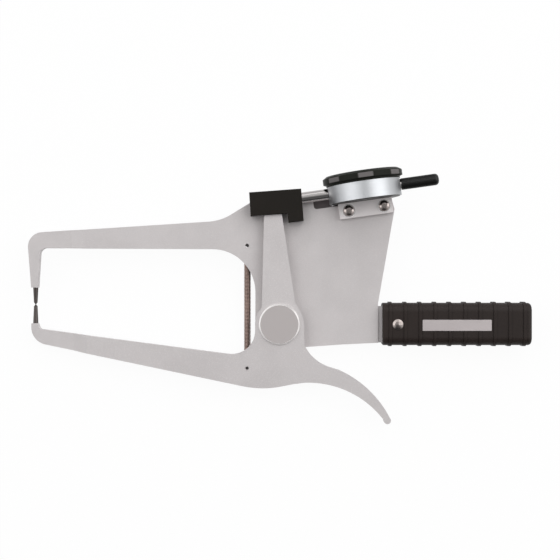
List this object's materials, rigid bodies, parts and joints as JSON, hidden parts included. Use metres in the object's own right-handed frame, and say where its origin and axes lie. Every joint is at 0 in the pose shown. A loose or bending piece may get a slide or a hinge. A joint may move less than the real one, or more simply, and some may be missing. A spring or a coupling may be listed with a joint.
{
  "type": "dial caliper gauge",
  "caption": "Hand caliper gauge: cast frame and pivoting lever with long jaws, finger trigger, ribbed grip and an edge-on dial gauge worked by a spindle",
  "frame": {"origin": "on the pivot axis, at the frame casting's flat back face", "axes": "+X along the grip away from the jaws, +Y up the plate toward the dial gauge, +Z from the flat back toward the front, along the pivot"},
  "size_m": [0.3566, 0.1812, 0.0564],
  "materials": {
    "casting": "satin silver-grey paint",
    "grip": "moulded, matte black",
    "black_cover": "satin black",
    "black_cap": "moulded black, fine ribs",
    "black_back": "satin black",
    "bezel": "moulded black",
    "bright_steel": "bright steel",
    "cap_silver": "satin silver-grey paint with a bright chamfer",
    "bare_plate": "satin",
    "dark_tip": "dark ground steel",
    "spring_steel": "drawn wire",
    "satin_case": "satin chrome",
    "lug_grey": "satin",
    "brass": "machined",
    "dial_white": "matte white with black marks",
    "pointer_black": "matte black",
    "clear": "clear acrylic"
  },
  "bodies": {
    "frame": {"frame_plate": "casting", "handle_front_scale": "grip", "handle_rear_scale": "grip", "handle_screw": "bright_steel", "handle_nut": "bright_steel", "nameplate": "bare_plate", "fixed_contact_tip": "dark_tip", "pivot_shaft": "bright_steel", "pivot_retainer": "bright_steel", "thrust_washer": "bright_steel", "spring_pin_upper": "bright_steel", "return_spring": "spring_steel", "spindle_cover": "black_cover", "cover_screws": "bright_steel", "gauge_case": "satin_case", "gauge_back": "black_back", "gauge_lug": "lug_grey", "back_screws": "bright_steel", "flange_screws": "bright_steel", "lug_screws": "bright_steel", "lug_washers": "bright_steel", "gauge_stem": "bright_steel", "rear_bush": "bright_steel", "rear_dust_cap": "black_cap", "movement_plate": "brass", "movement_bridge": "brass", "inner_dial": "dial_white", "spindle_spring": "spring_steel", "hairspring": "spring_steel"},
    "lever": {"lever_casting": "casting", "pivot_bush": "brass", "pivot_cap": "cap_silver", "moving_contact_tip": "dark_tip", "spring_pin_lower": "bright_steel", "lever_anvil": "bright_steel"},
    "spindle_set": {"spindle": "bright_steel", "spindle_contact": "bright_steel", "guide_pin": "bright_steel"},
    "rack_arbor": {"rack_wheel": "brass"},
    "pointer_arbor": {"main_pointer": "pointer_black"},
    "takeup_arbor": {"takeup_wheel": "brass"},
    "bezel_set": {"bezel_ring": "bezel", "dial_ring": "dial_white", "crystal": "clear"}
  },
  "joints": [
    {"name": "jaw_swing", "type": "hinge", "parent": "frame", "child": "lever", "pos_m": [0, 0, 0], "axis": [0, 0, 1], "range_deg": [0, 6.6], "stiffness_Nm_per_rad": 1, "springref_deg": -11.46, "deforming": ["return_spring"]},
    {"name": "spindle_slide", "type": "slide", "parent": "frame", "child": "spindle_set", "axis": [-0.9903, -0.1392, 0], "range_m": [0, 0.01], "deforming": ["spindle_spring"]},
    {"name": "rack_turn", "type": "hinge", "parent": "frame", "child": "rack_arbor", "pos_m": [0.04898, 0.09875, 0.01472], "axis": [-0.1392, 0.9903, 0], "range_deg": [0, 360]},
    {"name": "pointer_turn", "type": "hinge", "parent": "frame", "child": "pointer_arbor", "pos_m": [0.05932, 0.1002, 0.0111], "axis": [-0.1392, 0.9903, 0], "continuous": true},
    {"name": "takeup_turn", "type": "hinge", "parent": "frame", "child": "takeup_arbor", "pos_m": [0.06966, 0.10165, 0.00748], "axis": [-0.1392, 0.9903, 0], "range_deg": [0, 360], "deforming": ["hairspring"]},
    {"name": "bezel_turn", "type": "hinge", "parent": "frame", "child": "bezel_set", "pos_m": [0.05875, 0.10426, 0.0111], "axis": [-0.1392, 0.9903, 0], "continuous": true}
  ],
  "couplings": [
    {"joint": "spindle_slide", "follows": "jaw_swing", "m_per_rad": 0.0855},
    {"joint": "rack_turn", "follows": "jaw_swing", "ratio": 54.484},
    {"joint": "pointer_turn", "follows": "jaw_swing", "ratio": -544.84},
    {"joint": "takeup_turn", "follows": "jaw_swing", "ratio": 54.484}
  ]
}
